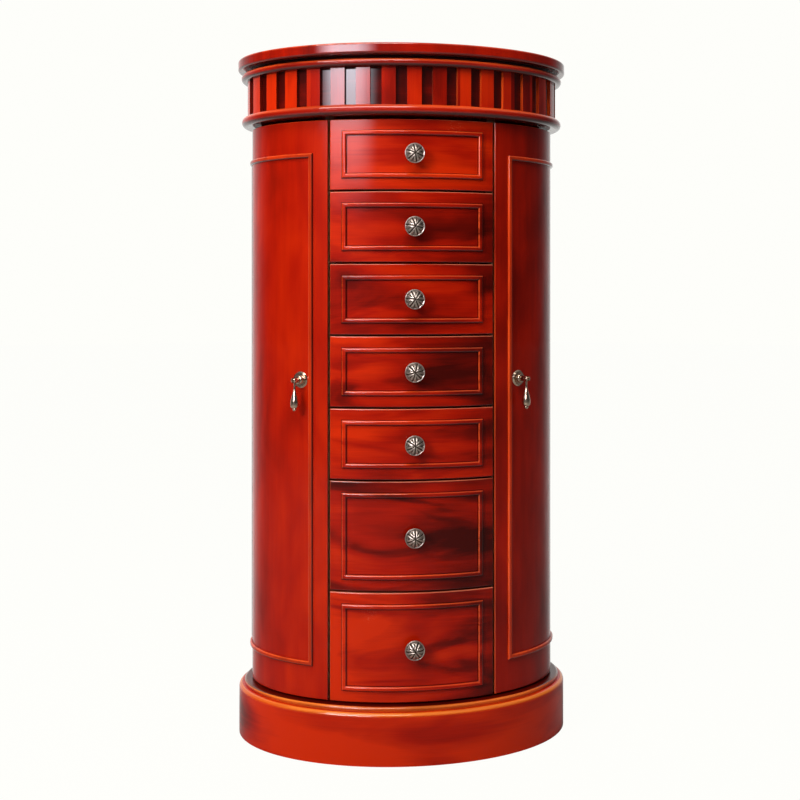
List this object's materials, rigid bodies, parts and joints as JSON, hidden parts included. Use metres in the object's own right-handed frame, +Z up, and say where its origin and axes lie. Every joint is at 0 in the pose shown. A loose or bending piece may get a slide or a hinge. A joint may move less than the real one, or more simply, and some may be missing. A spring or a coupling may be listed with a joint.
{
  "type": "jewelry cabinet",
  "caption": "Oval free-standing jewellery cabinet in red lacquered wood, with a stack of drawers, curved side doors, a dentilled cornice and a lift-up mirrored lid.",
  "frame": {"origin": "the middle of the footprint, on the floor", "axes": "+Z up; the drawers and knobs face -Y; +X is to the viewer's right"},
  "size_m": [0.4958, 0.3298, 1],
  "materials": {
    "lacquered_wood": "high-gloss cherry-red mahogany lacquer",
    "inner_wood": "thin satin varnish on pale boards",
    "felt": "short felt, champagne",
    "mirror": "silvered glass",
    "antique_silver": "cast and darkened in its hollows",
    "antique_brass": "polished, browned in its hollows",
    "catch_plastic": "moulded brown plastic"
  },
  "bodies": {
    "case": {"plinth_skirt": "lacquered_wood", "base_board": "lacquered_wood", "left_partition": "inner_wood", "right_partition": "inner_wood", "back_shell": "lacquered_wood", "drawer_runners": "inner_wood", "top_board": "lacquered_wood", "lower_cornice_bead": "lacquered_wood", "frieze_band": "lacquered_wood", "dentil_blocks": "lacquered_wood", "upper_cornice_bead": "lacquered_wood", "tray_lining": "felt", "tray_dividers": "inner_wood", "ring_rolls": "felt", "hinge_case_leaves": "antique_brass", "hinge_pins": "antique_brass", "necklace_racks": "antique_brass", "magnetic_catches": "catch_plastic"},
    "lid": {"lid_board": "lacquered_wood", "lid_mirror": "mirror", "lid_hinge_leaves": "antique_brass"},
    "left_door": {"left_door_panel": "lacquered_wood", "left_door_moulding": "lacquered_wood", "left_door_hinge_leaves": "antique_brass", "left_pull_mount": "antique_brass"},
    "left_drop": {"left_pull_drop": "antique_brass"},
    "right_door": {"right_door_panel": "lacquered_wood", "right_door_moulding": "lacquered_wood", "right_door_hinge_leaves": "antique_brass", "right_pull_mount": "antique_brass"},
    "right_drop": {"right_pull_drop": "antique_brass"},
    "drawer_1": {"drawer_1_front": "lacquered_wood", "drawer_1_box": "inner_wood", "drawer_1_lining": "felt", "drawer_1_knob": "antique_silver"},
    "drawer_2": {"drawer_2_front": "lacquered_wood", "drawer_2_box": "inner_wood", "drawer_2_lining": "felt", "drawer_2_knob": "antique_silver"},
    "drawer_3": {"drawer_3_front": "lacquered_wood", "drawer_3_box": "inner_wood", "drawer_3_lining": "felt", "drawer_3_knob": "antique_silver"},
    "drawer_4": {"drawer_4_front": "lacquered_wood", "drawer_4_box": "inner_wood", "drawer_4_lining": "felt", "drawer_4_knob": "antique_silver"},
    "drawer_5": {"drawer_5_front": "lacquered_wood", "drawer_5_box": "inner_wood", "drawer_5_lining": "felt", "drawer_5_knob": "antique_silver"},
    "drawer_6": {"drawer_6_front": "lacquered_wood", "drawer_6_box": "inner_wood", "drawer_6_lining": "felt", "drawer_6_knob": "antique_silver"},
    "drawer_7": {"drawer_7_front": "lacquered_wood", "drawer_7_box": "inner_wood", "drawer_7_lining": "felt", "drawer_7_knob": "antique_silver"}
  },
  "joints": [
    {"name": "lid_hinge", "type": "hinge", "parent": "case", "child": "lid", "pos_m": [0, 0.1626, 0.9821], "axis": [-1, 0, 0], "range_deg": [0, 95]},
    {"name": "left_door_hinge", "type": "hinge", "parent": "case", "child": "left_door", "pos_m": [-0.21851, 0.046, 0.4894], "axis": [0, 0, -1], "range_deg": [0, 110]},
    {"name": "right_door_hinge", "type": "hinge", "parent": "case", "child": "right_door", "pos_m": [0.21851, 0.046, 0.4894], "axis": [0, 0, 1], "range_deg": [0, 110]},
    {"name": "left_drop_swing", "type": "hinge", "parent": "left_door", "child": "left_drop", "pos_m": [-0.16557, -0.11811, 0.531], "axis": [-0.8547, 0.5192, 0], "range_deg": [-15, 90]},
    {"name": "right_drop_swing", "type": "hinge", "parent": "right_door", "child": "right_drop", "pos_m": [0.16557, -0.11811, 0.531], "axis": [-0.8547, -0.5192, 0], "range_deg": [-15, 90]},
    {"name": "drawer_1_slide", "type": "slide", "parent": "case", "child": "drawer_1", "axis": [0, -1, 0], "range_m": [0, 0.15]},
    {"name": "drawer_2_slide", "type": "slide", "parent": "case", "child": "drawer_2", "axis": [0, -1, 0], "range_m": [0, 0.15]},
    {"name": "drawer_3_slide", "type": "slide", "parent": "case", "child": "drawer_3", "axis": [0, -1, 0], "range_m": [0, 0.15]},
    {"name": "drawer_4_slide", "type": "slide", "parent": "case", "child": "drawer_4", "axis": [0, -1, 0], "range_m": [0, 0.15]},
    {"name": "drawer_5_slide", "type": "slide", "parent": "case", "child": "drawer_5", "axis": [0, -1, 0], "range_m": [0, 0.15]},
    {"name": "drawer_6_slide", "type": "slide", "parent": "case", "child": "drawer_6", "axis": [0, -1, 0], "range_m": [0, 0.15]},
    {"name": "drawer_7_slide", "type": "slide", "parent": "case", "child": "drawer_7", "axis": [0, -1, 0], "range_m": [0, 0.15]}
  ]
}
